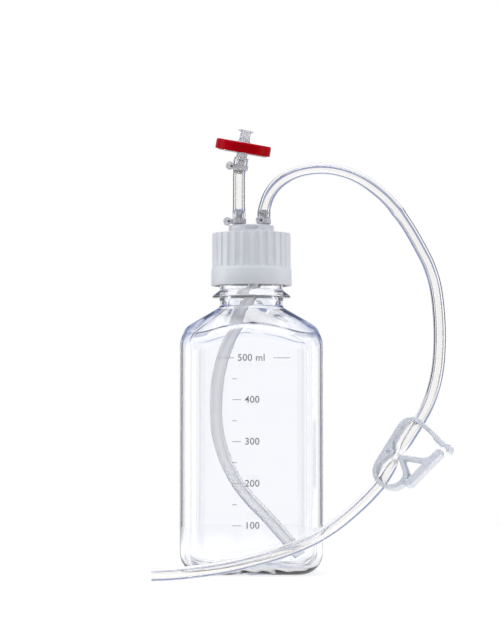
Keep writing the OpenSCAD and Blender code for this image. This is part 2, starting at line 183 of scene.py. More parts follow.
def loft(rings, wrap=False):
    """Points and faces of a skin through closed rings of equal length. With wrap the
    last ring joins the first, and without it both ends are capped."""
    size, count = len(rings[0]), len(rings)
    faces = []
    for i in range(count if wrap else count - 1):
        low, high = i * size, (i + 1) % count * size
        for j in range(size):
            k = (j + 1) % size
            faces.append((low + j, low + k, high + k, high + j))
    if not wrap:
        faces.append(tuple(range(size - 1, -1, -1)))
        faces.append(tuple(range((count - 1) * size, count * size)))
    return [Vector(p) for ring in rings for p in ring], faces


def revolve(profile, steps=96):
    """Points and faces of a profile of (radius, height) turned round +Z. A profile that
    starts and ends on the axis stays open there, and any other one is a closed loop."""
    solid = profile[0][0] == 0 and profile[-1][0] == 0
    size = len(profile)
    points, faces = [], []
    for i in range(steps):
        a = 2 * math.pi * i / steps
        points += [Vector((r * math.cos(a), r * math.sin(a), z)) for r, z in profile]
        low, high = i * size, (i + 1) % steps * size
        for j in range(size - 1 if solid else size):
            k = (j + 1) % size
            faces.append((low + j, low + k, high + k, high + j))
    return points, faces


def rounded(outline, radius, steps=4):
    """A closed outline with its corners rounded off. radius is one number, or a list
    with one for each corner."""
    out = []
    for i, corner in enumerate(outline):
        r = radius[i] if isinstance(radius, (list, tuple)) else radius
        here = Vector(corner)
        back = Vector(outline[i - 1]) - here
        ahead = Vector(outline[(i + 1) % len(outline)]) - here
        half = back.angle(ahead) / 2
        from_corner = min(r / math.tan(half), 0.48 * back.length, 0.48 * ahead.length)
        if from_corner < 0.01:
            out.append(here)
            continue
        start = here + back.normalized() * from_corner
        end = here + ahead.normalized() * from_corner
        for k in range(steps + 1):
            t = k / steps
            out.append(start * (1 - t) ** 2 + here * 2 * t * (1 - t) + end * t ** 2)
    return out


def arc(centre, r, start, end, steps=16):
    """Points of an arc between two angles in degrees."""
    angles = [math.radians(start + (end - start) * k / steps) for k in range(steps + 1)]
    return [Vector((centre[0] + r * math.cos(a), centre[1] + r * math.sin(a)))
            for a in angles]


def clean(mesh):
    """Joins points that meet, drops faces with no area, and turns all faces outward."""
    work = bmesh.new()
    work.from_mesh(mesh)
    bmesh.ops.remove_doubles(work, verts=work.verts, dist=0.002 * MM)
    bmesh.ops.dissolve_degenerate(work, edges=work.edges, dist=0.0005 * MM)
    bmesh.ops.recalc_face_normals(work, faces=work.faces)
    work.to_mesh(mesh)
    work.free()


def add(name, shape, material, place=None, sharp=SHARP):
    """Makes an object from points in millimetres and faces."""
    points, faces = shape
    if place is not None:
        points = [place @ p for p in points]
    mesh = bpy.data.meshes.new(name)
    mesh.from_pydata([p * MM for p in points], [], faces)
    clean(mesh)
    mesh.materials.append(material)
    soften(mesh, sharp)
    return new_object(name, mesh)


def soften(mesh, sharp=SHARP):
    """Smooth shading with sharp edges above an angle in degrees."""
    mesh.shade_smooth()
    mesh.set_sharp_from_angle(angle=math.radians(sharp))


def settle(obj):
    """Puts an object's modifiers into its mesh."""
    bpy.context.view_layer.update()
    graph = bpy.context.evaluated_depsgraph_get()
    mesh = bpy.data.meshes.new_from_object(obj.evaluated_get(graph))
    obj.modifiers.clear()
    obj.data = mesh


def cut(obj, *cutters):
    """Cuts the cutters from an object and removes them."""
    for cutter in cutters:
        modifier = obj.modifiers.new("cut", "BOOLEAN")
        modifier.object = cutter
        modifier.operation = "DIFFERENCE"
        modifier.solver = "EXACT"
        settle(obj)
        bpy.data.objects.remove(cutter)


def ease_edges(obj, width):
    """Rounds an object's sharp edges by a width in millimetres."""
    modifier = obj.modifiers.new("ease", "BEVEL")
    modifier.width = width * MM
    modifier.segments = 2
    modifier.limit_method = "ANGLE"
    modifier.angle_limit = EASED_ABOVE
    modifier.use_clamp_overlap = True
    settle(obj)
    clean(obj.data)
    soften(obj.data)


def block(name, low, high, material, ease, place=None):
    """A block between two corners, with its edges rounded by ease."""
    rings = [[(low[0], low[1], z), (high[0], low[1], z), (high[0], high[1], z),
              (low[0], high[1], z)] for z in (low[2], high[2])]
    obj = add(name, loft(rings), material, place)
    ease_edges(obj, ease)
    return obj


def from_curve(curve, place, material):
    """An object from a curve or a text, whose mesh is moved to a place in metres."""
    flat = new_object(curve.name, curve)
    bpy.context.view_layer.update()
    graph = bpy.context.evaluated_depsgraph_get()
    mesh = bpy.data.meshes.new_from_object(flat.evaluated_get(graph))
    bpy.data.objects.remove(flat)
    mesh.transform(place)
    clean(mesh)
    mesh.materials.clear()
    mesh.materials.append(material)
    return new_object(curve.name, mesh)


def joined(name, *objects):
    """One object from several."""
    bpy.ops.object.select_all(action="DESELECT")
    for obj in objects:
        obj.select_set(True)
    bpy.context.view_layer.objects.active = objects[0]
    bpy.ops.object.join()
    objects[0].name = name
    return objects[0]


def settled_on(obj, body, slot, *nodes):
    """Rides an object on a body and hides the nodes it replaces. The slot argument is not
    used.
    """
    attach(obj, body)
    if nodes:
        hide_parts(*nodes)
    return obj


# ---- Materials -------------------------------------------------------------------

COLOUR_GRAIN = 60
LIGHT_REACH = 2.5


def new_material(name):
    material = bpy.data.materials.new(name)
    material.use_nodes = True
    tree = material.node_tree
    return material, tree, tree.nodes["Principled BSDF"]


def noise(tree, scale, detail):
    """A noise value in object space. scale is the number of features in a metre."""
    coord = tree.nodes.new("ShaderNodeTexCoord")
    texture = tree.nodes.new("ShaderNodeTexNoise")
    texture.inputs["Scale"].default_value = scale
    texture.inputs["Detail"].default_value = detail
    tree.links.new(coord.outputs["Object"], texture.inputs["Vector"])
    return texture.outputs["Fac"]


def ranged(tree, value, start, end, low=0.0, high=1.0, kind="SMOOTHSTEP"):
    """Maps a value between start and end to one between low and high."""
    node = tree.nodes.new("ShaderNodeMapRange")
    node.interpolation_type = kind
    node.inputs["From Min"].default_value = start
    node.inputs["From Max"].default_value = end
    node.inputs["To Min"].default_value = low
    node.inputs["To Max"].default_value = high
    tree.links.new(value, node.inputs["Value"])
    return node.outputs["Result"]


def spread(tree, value, low, high):
    """Maps a noise value, which is mostly near the middle, to a whole range."""
    return ranged(tree, value, 0.3, 0.7, low, high, "LINEAR")


def tinted(tree, value, low, high):
    """Mixes two colours by a noise value."""
    node = tree.nodes.new("ShaderNodeMix")
    node.data_type = "RGBA"
    node.inputs["A"].default_value = (*low, 1)
    node.inputs["B"].default_value = (*high, 1)
    factor = spread(tree, value, 0, 1)
    tree.links.new(factor, node.inputs["Factor"])
    return node.outputs["Result"]


def bump(tree, shader, value, height, strength):
    """Feeds a noise value to the shader as bump of a height in millimetres."""
    node = tree.nodes.new("ShaderNodeBump")
    node.inputs["Strength"].default_value = strength
    node.inputs["Distance"].default_value = height * MM
    tree.links.new(value, node.inputs["Height"])
    tree.links.new(node.outputs["Normal"], shader.inputs["Normal"])


def moulded(name, low, high, roughness, transmission=0.0, subsurface=0.0, ior=1.49,
            grain=900, grain_h=0.02, strength=0.25, specular=0.5):
    """Moulded plastic or rubber: a colour that varies slightly between low and high,
    with a fine grain in its gloss and relief."""
    material, tree, shader = new_material(name)
    wide = noise(tree, COLOUR_GRAIN, 2)
    fine = noise(tree, grain, 4)
    tree.links.new(tinted(tree, wide, low, high), shader.inputs["Base Color"])
    tree.links.new(spread(tree, fine, roughness * 0.85, roughness * 1.15),
                   shader.inputs["Roughness"])
    bump(tree, shader, fine, grain_h, strength)
    shader.inputs["IOR"].default_value = ior
    shader.inputs["Transmission Weight"].default_value = transmission
    shader.inputs["Subsurface Weight"].default_value = subsurface
    shader.inputs["Subsurface Radius"].default_value = (1, 1, 1)
    shader.inputs["Subsurface Scale"].default_value = LIGHT_REACH * MM
    shader.inputs["Specular IOR Level"].default_value = specular
    return material


CLEAR = moulded("clear_bottle_plastic", (0.985, 0.988, 0.999), (0.99, 0.992, 1),
                0.01, transmission=1, ior=1.55, grain=45, grain_h=0.05, strength=0.06)
INK = moulded("graduation_ink", (0.78, 0.79, 0.8), (0.86, 0.87, 0.88), 0.55,
              transmission=0.6)
RING = moulded("ring_plastic", (0.735, 0.75, 0.745), (0.785, 0.8, 0.795), 0.4,
               grain=1400, grain_h=0.015)
INSERT = moulded("insert_plastic", (0.93, 0.94, 0.96), (0.96, 0.97, 0.985), 0.33,
                 transmission=0.3, subsurface=0.35)
RUBBER = moulded("gasket_rubber", (0.74, 0.74, 0.72), (0.8, 0.8, 0.78), 0.6,
                 grain=700, strength=0.4)
TUBING = moulded("silicone_tubing", (0.97, 0.96, 0.935), (0.98, 0.97, 0.945), 0.06,
                 transmission=1, ior=1.3, grain=40, grain_h=0.02, strength=0.05)
DIP_TUBING = moulded("dip_silicone_tubing", (0.99, 0.99, 0.99), (1, 1, 1), 0.5,
                     transmission=0.94, ior=1.25, grain=40, grain_h=0.02, strength=0.05)
NYLON = moulded("tie_nylon", (0.94, 0.92, 0.93), (0.97, 0.95, 0.96), 0.35,
                transmission=0.45)
# Near-black colour of the plug in the tie heads' holes: painted shade for the hole's dark
# inside
PAINTED_HOLE_SHADE = moulded("tie_pin", (0.02, 0.02, 0.022), (0.04, 0.04, 0.045), 0.5)
HOUSING = moulded("filter_housing", (0.97, 0.94, 0.96), (0.99, 0.97, 0.98), 0.2,
                  transmission=0.75, ior=1.45)
RED = moulded("filter_red", (0.4, 0.0, 0.002), (0.47, 0.0, 0.01), 0.3,
              subsurface=0.3, grain=500, grain_h=0.02, strength=0.3, specular=0.03)
MEDIA = moulded("filter_media", (0.84, 0.84, 0.83), (0.93, 0.93, 0.92), 0.8,
                grain=2500, grain_h=0.05, strength=0.8)
CLAMP = moulded("clamp_plastic", (0.86, 0.89, 0.93), (0.91, 0.93, 0.96), 0.34,
                transmission=0.3, subsurface=0.3, grain=800)

# ---- Tubing ----------------------------------------------------------------------

TUBE_SIDES = 48
STEPS_PER_SPAN = 14
BARB_SWELL = 0.3
BORE_SQUEEZE = 1.02
BORE_SPREAD = 0.9
PINCHED_BORE = 0.04


def smooth_route(route):
    """A finer line through a route's points, along a cubic with no corners."""
    points = [Vector(p) for p in route]
    ends = [2 * points[0] - points[1], *points, 2 * points[-1] - points[-2]]
    line = []
    for a, b, c, d in zip(ends, ends[1:], ends[2:], ends[3:]):
        for k in range(STEPS_PER_SPAN):
            t = k / STEPS_PER_SPAN
            line.append(0.5 * (2 * b + (c - a) * t + (2 * a - 5 * b + 4 * c - d) * t ** 2
                               + (3 * b - a - 3 * c + d) * t ** 3))
    return line + [points[-1]]


def length_of(line):
    """Length of a line of points."""
    return sum((b - a).length for a, b in zip(line, line[1:]))


def section(at, along, thick, wide):
    """A ring round a tube, thin in the direction in which the clamp pinches it."""
    across = Vector((0, 1, 0)).cross(along).normalized()
    back = along.cross(across)
    side = math.cos(CLAMP_TURN) * across - math.sin(CLAMP_TURN) * back
    deep = along.cross(side)
    turns = [2 * math.pi * k / TUBE_SIDES for k in range(TUBE_SIDES)]
    return [at + thick * math.cos(a) * side + wide * math.sin(a) * deep for a in turns]


def tube(line, outer, inner):
    """A hollow tube. outer and inner give, for a point on the line, half the
    thickness and half the width there."""
    alongs = [(line[min(i + 1, len(line) - 1)] - line[max(i - 1, 0)]).normalized()
              for i in range(len(line))]
    outside = [section(p, d, *outer(p)) for p, d in zip(line, alongs)]
    inside = [section(p, d, *inner(p)) for p, d in zip(line, alongs)]
    return loft(outside + inside[::-1], wrap=True)


def pinch_at(p):
    """How far the tube is pinched at a point: 1 in the clamp, and 0 away from it."""
    return math.exp(-((p - CLAMP_POS).length / PINCH_REACH) ** 2)


def barb_swell(p, top):
    """How far a tube's wall stands out over a port's barb that ends at a height."""
    return BARB_SWELL * math.exp(-((p.z - (top - 2)) / 2.2) ** 2)


def dispensing_outer(p):
    pinch, swell = pinch_at(p), barb_swell(p, BARB_Z)
    return (TUBE_R * (1 - PINCH_SQUEEZE * pinch) + swell,
            TUBE_R * (1 + PINCH_SPREAD * pinch) + swell)


def dispensing_inner(p):
    pinch, swell = pinch_at(p), barb_swell(p, BARB_Z)
    return (max(BORE_R * (1 - BORE_SQUEEZE * pinch), PINCHED_BORE) + swell,
            BORE_R * (1 + BORE_SPREAD * pinch) + swell)


def make_cord(name, route, node, outer, inner, material):
    line = smooth_route(route)
    obj = add(name, tube(line, outer, inner), material, sharp=50)
    settled_on(obj, "insert", "silicone_tubing", node)
    return obj, line


dispensing, dispensing_line = make_cord("dispensing_tubing", DISPENSING_ROUTE,
                                        "dispensing_tube", dispensing_outer,
                                        dispensing_inner, TUBING)
dip, dip_line = make_cord("dip_tubing", DIP_ROUTE, "dip_tube",
                          lambda p: (TUBE_R, TUBE_R), lambda p: (BORE_R, BORE_R),
                          DIP_TUBING)

# ---- Bottle ----------------------------------------------------------------------

RING_POINTS = 144
SEAM_TURN = math.radians(0.7)
SEAM_H = 0.2
SEAMS = (math.pi / 4, math.pi * 5 / 4)
DOME_RADII = (0.6, 5, 10, 15, 18, 20)
STAND_R = 21.5
EDGE_STEPS = 12
BODY_HEIGHTS = (25, 45, 66, 90, 108)
BEND_STEPS = 14
SLOPE_STEPS = 8
NECK_THREAD_LOW_Z = 158.5
THREAD_STEP = 0.35
THREAD_HALF_W = 1.05
THREAD_FLANK = 0.5
SHOULDER_WAVE = 0.24
BASE_WAVE = 0.2
LEAST_WAVE = 0.01

# Extra wall, in millimetres, that gathers inside the bend of the shoulder and in the base
GATHER = 0.2
BASE_GATHER = 1


def ring_angles():
    """Angles round the bottle, with a narrow stretch at each of the mould's seams."""
    angles = [2 * math.pi * k / RING_POINTS for k in range(RING_POINTS)]
    for seam in SEAMS:
        angles += [seam - SEAM_TURN, seam + SEAM_TURN]
    return sorted(angles)


ANGLES = ring_angles()


def ring_of(out, height, seam=0.0):
    """A ring whose distance from the axis and whose height depend on the angle."""
    ring = []
    for a in ANGLES:
        r = out(a) + (seam if min(abs(a - s) for s in SEAMS) < 1e-6 else 0)
        ring.append(Vector((r * math.cos(a), r * math.sin(a), height(a))))
    return ring


def reach(half, r, angle):
    """Distance from the axis to the side of a square with round corners."""
    fold = abs((angle + math.pi / 4) % (math.pi / 2) - math.pi / 4)
    c = half - r
    if half * math.tan(fold) <= c:
        return half / math.cos(fold)
    inside = r * r - c * c * (1 - math.sin(2 * fold))
    return c * (math.cos(fold) + math.sin(fold)) + math.sqrt(inside)


def square_ring(half, r, z, seam=0.0):
    """A level ring with four flat sides and round corners."""
    return ring_of(lambda a: reach(half, r, a), lambda a: z, seam)


def circle_ring(r, z, seam=0.0):
    return ring_of(lambda a: r, lambda a: z, seam)


def shoulder_ring(inset, turn, share, top_r, seam):
    """A ring of the shoulder, at a turn round its curve and then a share of the way up
    its slope. The wall gathers round the curve. The shoulder is a cone, so its foot is
    lowest at the corners."""
    w, fall = HALF_W - inset, math.tan(SHOULDER_SLOPE)
    bow = SHOULDER_R - inset - (GATHER * math.sin(turn) if inset else 0)
    top_z = (SHOULDER_Z + bow * math.cos(SHOULDER_SLOPE)
             + fall * (w - bow + bow * math.sin(SHOULDER_SLOPE) - top_r))

    def out(a):
        foot = reach(w, CORNER_R - inset, a) - bow * (1 - math.cos(turn))
        return foot + (top_r - foot) * share

    def height(a):
        foot = (SHOULDER_Z - fall * (reach(w, CORNER_R - inset, a) - w)
                + bow * math.sin(turn))
        return foot + (top_z - foot) * share

    return ring_of(out, height, seam)


def body_rings(inset, top_r, thicker, seam):
    """Rings of the body from its base to the foot of the neck, set in from its outside.
    thicker is the extra wall that gathers in the base."""
    rings = []
    edge = BASE_EDGE_R - inset
    for k in range(EDGE_STEPS + 1):
        a = math.pi / 2 * k / EDGE_STEPS
        depth = inset + edge * (1 - math.sin(a))
        rings.append(square_ring(HALF_W - depth, CORNER_R - depth,
                                 BASE_EDGE_R - edge * math.cos(a)
                                 + thicker * (1 - k / EDGE_STEPS), seam))
    for z in BODY_HEIGHTS:
        rings.append(square_ring(HALF_W - inset, CORNER_R - inset, z, seam))
    slope_turn = math.pi / 2 - SHOULDER_SLOPE
    for k in range(BEND_STEPS + 1):
        rings.append(shoulder_ring(inset, slope_turn * k / BEND_STEPS, 0, top_r, seam))
    for k in range(1, SLOPE_STEPS + 1):
        rings.append(shoulder_ring(inset, slope_turn, k / SLOPE_STEPS, top_r, seam))
    return rings


def thread_rise(angle, z, start_z):
    """Height of the thread's ridge above its wall."""
    turn = (z - start_z) / PITCH
    best = 0.0
    for lap in range(-1, 3):
        t = angle / (2 * math.pi) + lap
        if 0 <= t <= THREAD_TURNS:
            off = abs(turn - t) * PITCH
            fade = min(1, min(t, THREAD_TURNS - t) * 10)
            flank = min(1, max(0, (THREAD_HALF_W - off) / THREAD_FLANK))
            best = max(best, fade * flank)
    return THREAD_H * best


def neck_outer_rings():
    """Rings up the outside of the neck, over its thread and rim, and down its bore."""
    rings = []
    neck = [(SHOULDER_TOP_R - 0.5, 137.9), (NECK_R + 0.08, 138.5), (NECK_R, 139.3),
            (NECK_R, 142.2), (NECK_R + 0.25, 142.65), (NECK_R + 0.7, SUPPORT_Z),
            (SUPPORT_R - 0.3, SUPPORT_Z), (SUPPORT_R, SUPPORT_Z + 0.25),
            (SUPPORT_R, SUPPORT_Z + 0.8), (SUPPORT_R - 0.25, SUPPORT_Z + 1.1),
            (NECK_R + 0.5, SUPPORT_TOP_Z - 0.4), (NECK_R + 0.1, SUPPORT_TOP_Z),
            (NECK_R, SUPPORT_TOP_Z + 0.6), (NECK_R, 152), (NECK_R, 158)]
    for r, z in neck:
        rings.append(circle_ring(r, z, SEAM_H if z < 142 else 0))
    z = NECK_THREAD_LOW_Z
    while z < RIM_Z - 1.5:
        ring = circle_ring(NECK_R, z)
        for p in ring:
            angle = math.atan2(p.y, p.x) % (2 * math.pi)
            rise = thread_rise(angle, z, THREAD_Z)
            p.x *= 1 + rise / NECK_R
            p.y *= 1 + rise / NECK_R
        rings.append(ring)
        z += THREAD_STEP
    rings += [circle_ring(r, z) for r, z in (
        (NECK_R, RIM_Z - 0.8), (NECK_R - 0.15, RIM_Z - 0.2), (NECK_R - 0.5, RIM_Z),
        (NECK_BORE_R + 0.4, RIM_Z), (NECK_BORE_R + 0.1, RIM_Z - 0.15),
        (NECK_BORE_R, RIM_Z - 0.6), (NECK_BORE_R, 160), (NECK_BORE_R, 150))]
    return rings


def waviness(p):
    """Uneven wall inside a blow-moulded body: strongest in the shoulder and the base."""
    thick = (SHOULDER_WAVE * math.exp(-((p.z - 131) / 3.5) ** 2)
             + BASE_WAVE * math.exp(-(p.z / 9) ** 2) + LEAST_WAVE)
    wave = (math.sin(0.31 * p.x + 0.42 * p.z) * math.cos(0.27 * p.y - 0.33 * p.z)
            + 0.6 * math.sin(0.74 * p.x - 0.5 * p.y + 0.8 * p.z))
    return thick * wave


def dome_z(r, grow):
    """Height of the dome in the base at a radius, on a ball whose radius can grow."""
    ball = (PUSHUP_R ** 2 + PUSHUP_H ** 2) / (2 * PUSHUP_H)
    return PUSHUP_H - ball + math.sqrt((ball + grow) ** 2 - r * r)


def make_bottle():
    outside = [circle_ring(r, max(dome_z(r, 0), 0)) for r in DOME_RADII]
    outside.append(circle_ring(STAND_R, 0))
    outside += body_rings(0, SHOULDER_TOP_R, 0, SEAM_H)
    outside += neck_outer_rings()
    inside = [circle_ring(r, max(dome_z(r, WALL), WALL + 0.6))
              for r in (*DOME_RADII, STAND_R)]
    inside += body_rings(WALL, CAVITY_TOP_R, BASE_GATHER, 0)
    inside.append(circle_ring(NECK_BORE_R, 140.5))
    for ring in inside:
        for p in ring:
            p += waviness(p) * Vector((p.x, p.y, 30)).normalized()
    obj = add("bottle_shell", loft(outside + inside[::-1]), CLEAR, sharp=60)
    settled_on(obj, "bottle", "clear_body", "bottle")


# Height of each graduation, in millimetres, and its label
GRADUATIONS = ((110.5, "500 ml"), (89.25, "400"), (68, "300"), (46.75, "200"),
               (25.5, "100"))
LABEL_H = 4.9
LABEL_X = -3.4
TOP_LABEL_X = -7.1
MARK_X = -9.8
MARK_T = 0.45
MARK_PROUD = 0.12


def mark(x_from, x_to, z):
    """A line of the scale, with round ends."""
    front = -HALF_W
    outline = rounded([(x_from, z - MARK_T / 2), (x_to, z - MARK_T / 2),
                       (x_to, z + MARK_T / 2), (x_from, z + MARK_T / 2)], MARK_T / 2)
    rings = [[Vector((p.x, y, p.y)) for p in outline]
             for y in (front + 0.05, front - MARK_PROUD)]
    return add("mark", loft(rings), INK)


def label(text, x, z):
    """Raised text of the scale, from its left end."""
    curve = bpy.data.curves.new("label", "FONT")
    curve.body = text
    curve.size = LABEL_H * MM
    curve.extrude = MARK_PROUD / 2 * MM
    curve.space_character = 1.04
    curve.offset = 0.07 * MM
    curve.align_y = "CENTER"
    at = Vector((x * MM, (-HALF_W - MARK_PROUD / 2) * MM, z * MM))
    return from_curve(curve, Matrix.Translation(at) @ Matrix.Rotation(math.pi / 2, 4, "X"),
                      INK)


def make_graduations():
    marks = [mark(-17.7, -8.8, GRADUATIONS[0][0]), mark(11, 19.8, GRADUATIONS[0][0]),
             label(GRADUATIONS[0][1], TOP_LABEL_X, GRADUATIONS[0][0])]
    for z, text in GRADUATIONS[1:]:
        marks.append(mark(MARK_X, MARK_X + 4.5, z))
        marks.append(label(text, LABEL_X, z))
    for (upper, _), (lower, _) in zip(GRADUATIONS, GRADUATIONS[1:]):
        marks.append(mark(MARK_X, MARK_X + 2.5, (upper + lower) / 2))
    settled_on(joined("graduations", *marks), "bottle", "clear_body")


make_bottle()
make_graduations()

# ---- Screw ring ------------------------------------------------------------------

POINTS_PER_FLUTE = 20
FLUTE_SHARE = 0.64
RING_THREAD_TOP_Z = 168.5
RING_THREAD_LOW_Z = 156


def flute_depth(angle):
    """Depth of the grooves between the ribs, with rounded lips."""
    across = (angle * FLUTES / (2 * math.pi)) % 1
    off = abs(across - 0.5) / (FLUTE_SHARE / 2)
    return FLUTE_DEPTH * max(0, min(1, (1.15 - off) / 0.3))


def ring_circle(r, z, flute=0.0, thread=False):
    """A level circle of the screw ring, with a share of the flutes' depth or the
    ridge of the inner thread."""
    count = FLUTES * POINTS_PER_FLUTE
    ring = []
    for i in range(count):
        a = 2 * math.pi * i / count
        radius = r - flute * flute_depth(a)
        if thread:
            radius -= thread_rise(a, z, THREAD_Z - PITCH / 2)
        ring.append(Vector((radius * math.cos(a), radius * math.sin(a), z)))
    return ring


def make_ring():
    hole_r = BOSS_R + 0.3
    low = [(RING_BORE_R + 0.3, RING_Z), (SKIRT_R - 0.4, RING_Z),
           (SKIRT_R - 0.12, RING_Z + 0.12), (SKIRT_R, RING_Z + 0.4),
           (SKIRT_R - 0.05, RING_Z + 4.5), (SKIRT_R - 0.08, SKIRT_TOP_Z - 0.8),
           (SKIRT_R - 0.2, SKIRT_TOP_Z - 0.5), (SKIRT_R - 0.45, SKIRT_TOP_Z - 0.05),
           (RING_R + 0.02, SKIRT_TOP_Z + 0.12)]
    rings = [ring_circle(r, z) for r, z in low]
    fluted = ((SKIRT_TOP_Z + 0.35, 0), (SKIRT_TOP_Z + 0.55, 0.6), (SKIRT_TOP_Z + 0.9, 1),
              (SKIRT_TOP_Z + 6, 1), (RING_TOP_Z - 6, 1), (RING_TOP_Z - 0.6, 1))
    rings += [ring_circle(RING_R - 0.0045 * (z - SKIRT_TOP_Z), z, f) for z, f in fluted]
    for k in range(1, 6):
        a = math.pi / 2 * k / 5
        rings.append(ring_circle(RING_R - 0.6 + 0.5 * math.cos(a),
                                 RING_TOP_Z - 0.5 + 0.5 * math.sin(a), 1 - 0.5 * k / 5))
    rings += [ring_circle(r, z) for r, z in (
        (RING_R - 2.4, RING_TOP_Z), (hole_r + 0.3, RING_TOP_Z),
        (hole_r, RING_TOP_Z - 0.3), (hole_r, RING_TOP_Z - RING_TOP_T + 0.2),
        (hole_r + 0.2, RING_TOP_Z - RING_TOP_T),
        (RING_BORE_R - 0.5, RING_TOP_Z - RING_TOP_T),
        (RING_BORE_R, RING_TOP_Z - RING_TOP_T - 0.5))]
    z = RING_THREAD_TOP_Z
    while z > RING_THREAD_LOW_Z:
        rings.append(ring_circle(RING_BORE_R, z, thread=True))
        z -= THREAD_STEP
    rings.append(ring_circle(RING_BORE_R, RING_Z + 0.4))
    obj = add("screw_ring", loft(rings, wrap=True), RING, sharp=50)
    settled_on(obj, "cap_ring", "ring_plastic", "cap_ring")


make_ring()

# ---- Two-port insert -------------------------------------------------------------

BARB_R = 2.25
STEM_R = 1.8
PORT_BORE_R = 1.1
WINDOW_W = 7
WINDOW_D = 0.8
WINDOW_LOW_Z = BOSS_Z - 2.6
WINDOW_TOP_Z = BOSS_Z - 0.9


def barb_profile(length, base=-0.6):
    """A hollow barbed nipple from its foot upward: two ridges and a tapered tip."""
    return [(PORT_BORE_R, base), (STEM_R + 0.5, base), (STEM_R + 0.35, 0.25),
            (STEM_R, 0.7), (STEM_R, length * 0.45 - 1.6), (BARB_R - 0.05, length * 0.45),
            (BARB_R - 0.05, length * 0.45 + 0.15), (STEM_R, length * 0.45 + 0.35),
            (STEM_R, length - 2), (BARB_R, length - 2), (BARB_R, length - 1.8),
            (STEM_R - 0.2, length - 0.1), (STEM_R - 0.4, length), (PORT_BORE_R, length)]


def make_insert():
    boss = rounded([(0, FLANGE_Z), (FLANGE_R, FLANGE_Z), (FLANGE_R, FLANGE_TOP_Z),
                    (BOSS_R, FLANGE_TOP_Z), (BOSS_R - 0.2, BOSS_Z), (0, BOSS_Z)],
                   [0, 0.3, 0.3, 0.4, 0.5, 0])
    body = add("insert_body", revolve(boss, 128), INSERT)
    cutters = []
    for side in (-1, 1):
        window = block("window", (-WINDOW_W / 2, side * BOSS_R - WINDOW_D, WINDOW_LOW_Z),
                       (WINDOW_W / 2, side * BOSS_R + WINDOW_D, WINDOW_TOP_Z), INSERT,
                       0.3)
        bore = revolve([(0, FLANGE_Z - 1), (PORT_BORE_R, FLANGE_Z - 1),
                        (PORT_BORE_R, BOSS_Z + 1), (0, BOSS_Z + 1)], 32)
        cutters.append(window)
        cutters.append(add("bore", bore, INSERT,
                           Matrix.Translation((side * PORT_X, 0, 0))))
    cut(body, *cutters)
    soften(body.data, 30)
    settled_on(body, "insert", "insert_plastic", "port_insert")
    for side, hand in ((-1, "left"), (1, "right")):
        up = Matrix.Translation((side * PORT_X, 0, BOSS_Z))
        down = Matrix.Translation((side * PORT_X, 0, FLANGE_Z)) @ Matrix.Rotation(
            math.pi, 4, "X")
        for place, way, length in ((up, "upper", BARB_Z - BOSS_Z),
                                   (down, "lower", FLANGE_Z - LOWER_BARB_Z)):
            barb = add(f"barb_{way}_{hand}", revolve(barb_profile(length), 40), INSERT,
                       place, sharp=30)
            settled_on(barb, "insert", "insert_plastic", "port_insert")


make_insert()

# ---- Vent tube, ties and filter --------------------------------------------------

FILTER = (Matrix.Translation((-PORT_X, 0, STEM_TOP_Z))
          @ Matrix.Rotation(FILTER_TILT, 4, "Y") @ Matrix.Rotation(FILTER_LEAN, 4, "X")
          @ Matrix.Translation((0, 0, FILTER_RISE)))
SLEEVE_R = 3.75
SLEEVE_FOOT = -11.8
SLEEVE_TOP = -5.4


def make_vent_tube():
    """The tube stands on its port, then bends on to the filter's stem, which stretches
    its upper end."""
    straight = [Vector((-PORT_X, 0, z)) for z in
                (BOSS_Z + 0.1, 182, 183.5, 185, 186, 187, 188, 189, 190, 192, 196, 200,
                 204, 206.5)]
    lean = FILTER @ Vector((0, 0, SLEEVE_FOOT + 0.4))
    bend = Vector((-PORT_X + 0.12, -0.05, STEM_TOP_Z - 0.4))
    upper = [FILTER @ Vector((0, 0, w)) for w in (-10.6, -9.8, -9, -8, -7, -6, SLEEVE_TOP)]
    line = straight + [bend, lean] + upper
    start = lean.z - 1.2

    def stretch(p):
        t = min(1, max(0, (p.z - start) / 2.2))
        return t * t * (3 - 2 * t)

    def outer(p):
        r = TUBE_R + barb_swell(p, BARB_Z) + (SLEEVE_R - TUBE_R) * stretch(p)
        return r, r

    def inner(p):
        on_barb = 0.55 if p.z < BARB_Z else 0.0
        r = BORE_R + on_barb + 0.25 * stretch(p) + barb_swell(p, BARB_Z)
        return r, r

    obj = add("vent_tubing", tube(line, outer, inner), TUBING, sharp=50)
    settled_on(obj, "insert", "silicone_tubing", "vent_tube")


TIE_H = 2.5
TIE_T = 0.6
TIE_HEAD_R = 2.2
TIE_HEAD_D = 3.4
TIE_DISH = 0.35
TIE_HOLE_X = 0.75
TIE_HOLE_R = 0.6
TIE_HOLE_DEPTH = 1.6


